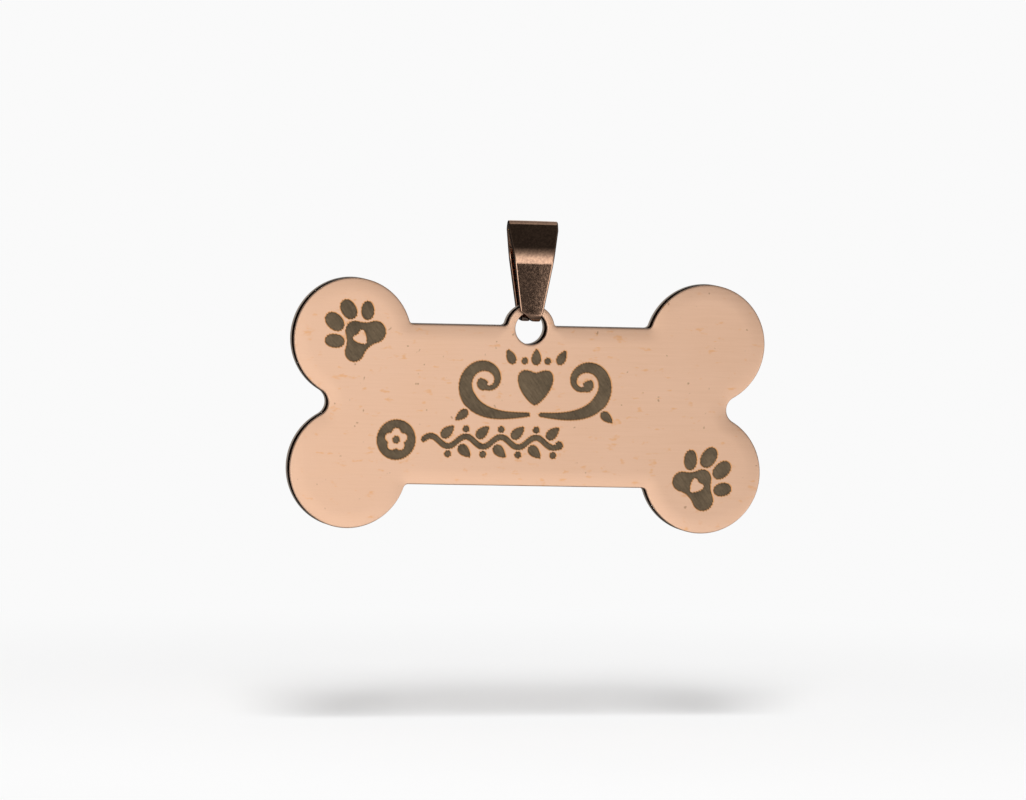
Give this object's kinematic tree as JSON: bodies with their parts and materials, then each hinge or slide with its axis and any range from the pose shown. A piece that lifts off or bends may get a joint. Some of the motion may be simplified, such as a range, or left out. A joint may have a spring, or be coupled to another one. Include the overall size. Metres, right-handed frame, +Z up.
{
  "type": "pet tag",
  "caption": "Bone-shaped steel pet tag plate with a drilled ear, swinging on a tapered bail folded from steel strip.",
  "frame": {"origin": "under the fold at the top of the bail, where a collar ring bears, on the middle plane of the plate", "axes": "+X along the length of the bone, to the right seen from the front; -Y out of the plate's front face; +Z up as the tag hangs"},
  "size_m": [0.05, 0.0056, 0.0318],
  "materials": {
    "rose_gold_brushed": "fine horizontal brushing under a rose gold coating",
    "rose_gold_polished": "tumbled and polished, rose gold coating"
  },
  "bodies": {
    "bail": {"bail": "rose_gold_polished"},
    "plate": {"bone_plate": "rose_gold_brushed"}
  },
  "joints": [
    {"name": "plate_swing", "type": "hinge", "parent": "bail", "child": "plate", "pos_m": [0, 0, -0.01045], "axis": [0, 1, 0], "range_deg": [-65, 65]}
  ]
}
